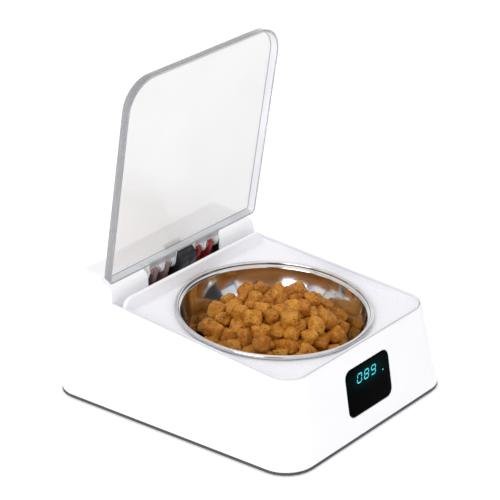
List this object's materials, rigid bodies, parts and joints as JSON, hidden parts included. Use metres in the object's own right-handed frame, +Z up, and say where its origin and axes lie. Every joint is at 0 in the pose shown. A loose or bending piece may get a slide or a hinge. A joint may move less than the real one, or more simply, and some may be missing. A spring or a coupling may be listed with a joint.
{
  "type": "automatic pet feeder",
  "caption": "White wedge-shaped pet feeder with a steel bowl in a sloping tray, a clear motor-hinged lid and a black front display.",
  "frame": {"origin": "on the ground, in the middle of the footprint", "axes": "+Z up, -Y towards the front wall with the display, +X to the right when the display is faced"},
  "size_m": [0.1998, 0.2427, 0.2695],
  "materials": {
    "housing_white": "glossy moulded white ABS",
    "seal_grey": "soft grey silicone",
    "base_grey": "fine textured dark grey plastic",
    "foot_rubber": "matt black rubber",
    "screw_steel": "zinc plated",
    "bowl_steel": "polished stainless steel",
    "clear_lid": "clear polished acrylic",
    "shaft_steel": "ground steel",
    "bracket_maroon": "dark red-brown moulded plastic",
    "brass": "turned brass",
    "black_plastic": "black moulded plastic",
    "gear_nylon": "natural nylon",
    "load_aluminium": "milled aluminium",
    "cell_wrap": "blue shrink wrap",
    "board_green": "green solder mask",
    "display_black": "polished black window"
  },
  "bodies": {
    "feeder": {"upper_housing": "housing_white", "bowl_tray": "housing_white", "lid_seal": "seal_grey", "base_plate": "base_grey", "rear_frame": "base_grey", "weigh_plate": "base_grey", "foot_1": "foot_rubber", "foot_2": "foot_rubber", "foot_3": "foot_rubber", "foot_4": "foot_rubber", "housing_screw_1": "screw_steel", "housing_screw_2": "screw_steel", "housing_screw_3": "screw_steel", "housing_screw_4": "screw_steel", "tray_screw_1": "screw_steel", "tray_screw_2": "screw_steel", "tray_screw_3": "screw_steel", "tray_screw_4": "screw_steel", "bracket_screw_left_1": "screw_steel", "bracket_screw_left_2": "screw_steel", "bracket_screw_right_1": "screw_steel", "bracket_screw_right_2": "screw_steel", "frame_screw_1": "screw_steel", "frame_screw_2": "screw_steel", "display_screw_1": "screw_steel", "display_screw_2": "screw_steel", "idler_pin": "screw_steel", "usb_socket": "screw_steel", "lid_motor": "shaft_steel", "hinge_bracket_left": "bracket_maroon", "hinge_bracket_right": "bracket_maroon", "shaft_bush_left": "brass", "shaft_bush_right": "brass", "gearbox_case": "black_plastic", "gearbox_cover": "black_plastic", "battery_holder": "black_plastic", "controller_chip": "black_plastic", "switch_body": "black_plastic", "tare_switch": "black_plastic", "digit_module": "black_plastic", "sensor_emitter": "black_plastic", "sensor_receiver": "black_plastic", "load_cell": "load_aluminium", "battery_cell_1": "cell_wrap", "battery_cell_2": "cell_wrap", "main_board": "board_green", "usb_board": "board_green", "button_board": "board_green", "display_board": "board_green", "display_window": "display_black"},
    "lid": {"lid": "clear_lid", "hinge_shaft": "shaft_steel", "lid_gear": "gear_nylon"},
    "idler": {"idler_gear": "gear_nylon"},
    "rotor": {"motor_pinion": "brass", "motor_shaft": "screw_steel"},
    "bowl": {"bowl": "bowl_steel"},
    "rocker": {"power_rocker": "black_plastic"},
    "button": {"tare_button": "housing_white"}
  },
  "joints": [
    {"name": "lid_hinge", "type": "hinge", "parent": "feeder", "child": "lid", "pos_m": [0, 0.0692, 0.09185], "axis": [-1, 0, 0], "range_deg": [-84, 0]},
    {"name": "idler_spin", "type": "hinge", "parent": "feeder", "child": "idler", "pos_m": [0, 0.07784, 0.08537], "axis": [-1, 0, 0], "range_deg": [0, 140]},
    {"name": "rotor_spin", "type": "hinge", "parent": "feeder", "child": "rotor", "pos_m": [0, 0.08432, 0.07673], "axis": [-1, 0, 0], "range_deg": [-350, 0]},
    {"name": "bowl_lift", "type": "slide", "parent": "feeder", "child": "bowl", "axis": [0, -0.0859, 0.9963], "range_m": [0, 0.1]},
    {"name": "rocker_tilt", "type": "hinge", "parent": "feeder", "child": "rocker", "pos_m": [0.06, 0.1124, 0.032], "axis": [1, 0, 0], "range_deg": [-20, 0]},
    {"name": "button_press", "type": "slide", "parent": "feeder", "child": "button", "axis": [0, -1, 0], "range_m": [0, 0.0008], "stiffness_N_per_m": 400}
  ],
  "couplings": [
    {"joint": "idler_spin", "follows": "lid_hinge", "ratio": -1.5714},
    {"joint": "rotor_spin", "follows": "lid_hinge", "ratio": 4.0857}
  ]
}
